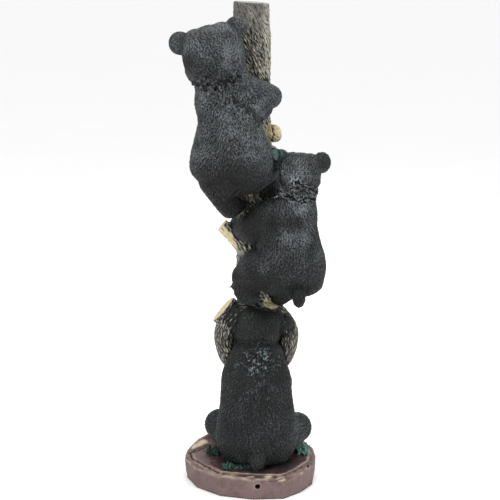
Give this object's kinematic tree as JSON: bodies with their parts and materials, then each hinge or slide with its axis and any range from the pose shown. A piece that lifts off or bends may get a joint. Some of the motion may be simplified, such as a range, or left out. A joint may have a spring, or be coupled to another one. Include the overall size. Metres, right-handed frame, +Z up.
{
  "type": "bear sculpture",
  "caption": "Garden statue of bear cubs climbing a tree trunk, cast in one piece with a slab of rock as its foot.",
  "frame": {"origin": "middle of the flat underside", "axes": "+Z up along the trunk; the cubs turn their backs to -Y"},
  "size_m": [0.3037, 0.2615, 0.938],
  "materials": {
    "painted_resin": "black painted fur, dry-brushed blue grey",
    "bark_paint": "olive grey painted bark with cream cut wood",
    "rock_paint": "mauve brown painted stone",
    "leaf_paint": "dark green painted grass and needles",
    "face_paint": "tan painted muzzle, glossy black nose, eyes and claws"
  },
  "bodies": {
    "root": {"bear_tree_casting": "painted_resin"}
  },
  "joints": []
}
